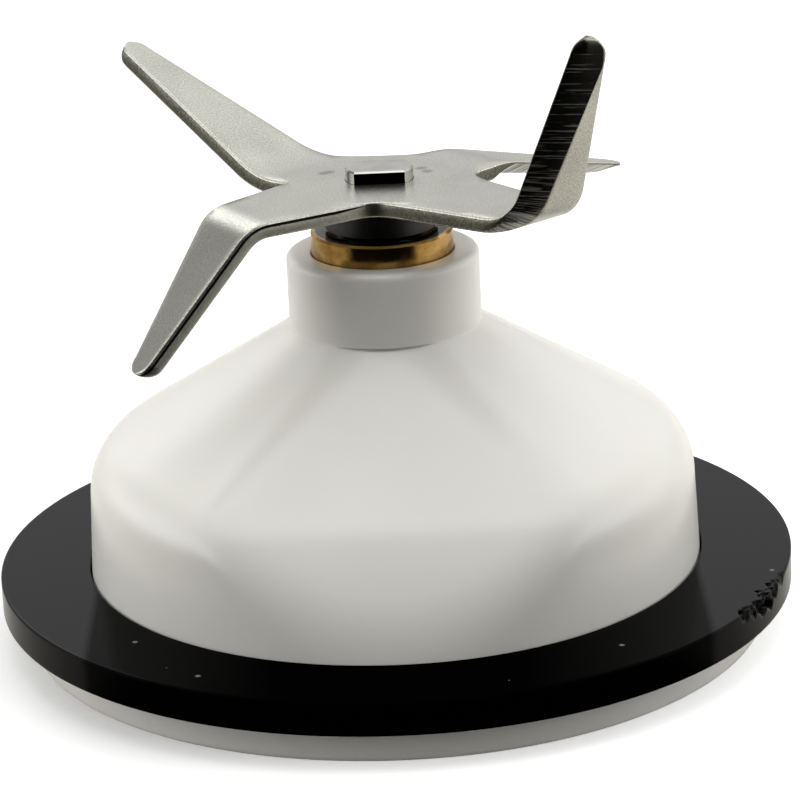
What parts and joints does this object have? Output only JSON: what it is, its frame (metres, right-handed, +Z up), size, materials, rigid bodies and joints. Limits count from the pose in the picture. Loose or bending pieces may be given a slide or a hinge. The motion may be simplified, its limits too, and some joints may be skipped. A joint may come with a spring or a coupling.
{
  "type": "blender blade assembly",
  "caption": "Domed white blender base with a black gasket and a brass bearing, carrying a stainless blade with arms bent up and down that spins on a shaft driven from below.",
  "frame": {"origin": "centre of the flange's underside, on the shaft's axis", "axes": "+Z up along the shaft, towards the blade; -Y faces the camera, with a facet of the dome in front"},
  "size_m": [0.076, 0.076, 0.0604],
  "materials": {
    "white_plastic": "glossy moulded white plastic",
    "gasket_rubber": "matt black rubber",
    "bush_brass": "turned brass, slightly dulled",
    "seal_rubber": "smooth black rubber",
    "shaft_steel": "turned stainless steel",
    "blade_steel": "satin stainless sheet with ground edges",
    "washer_steel": "stamped steel",
    "spring_steel": "oiled spring steel",
    "fibre": "red-brown fibre",
    "black_nylon": "moulded black nylon"
  },
  "bodies": {
    "base_unit": {"base": "white_plastic", "gasket": "gasket_rubber", "upper_bush": "bush_brass", "lower_bush": "bush_brass", "shaft_seal": "seal_rubber"},
    "spindle": {"shaft": "shaft_steel", "blade": "blade_steel", "blade_spacer": "black_nylon", "fibre_washer": "fibre", "steel_washer": "washer_steel", "retaining_ring": "spring_steel", "drive_coupling": "black_nylon"}
  },
  "joints": [
    {"name": "blade_spin", "type": "hinge", "parent": "base_unit", "child": "spindle", "pos_m": [0, 0, 0.02], "axis": [0, 0, 1], "continuous": true}
  ]
}
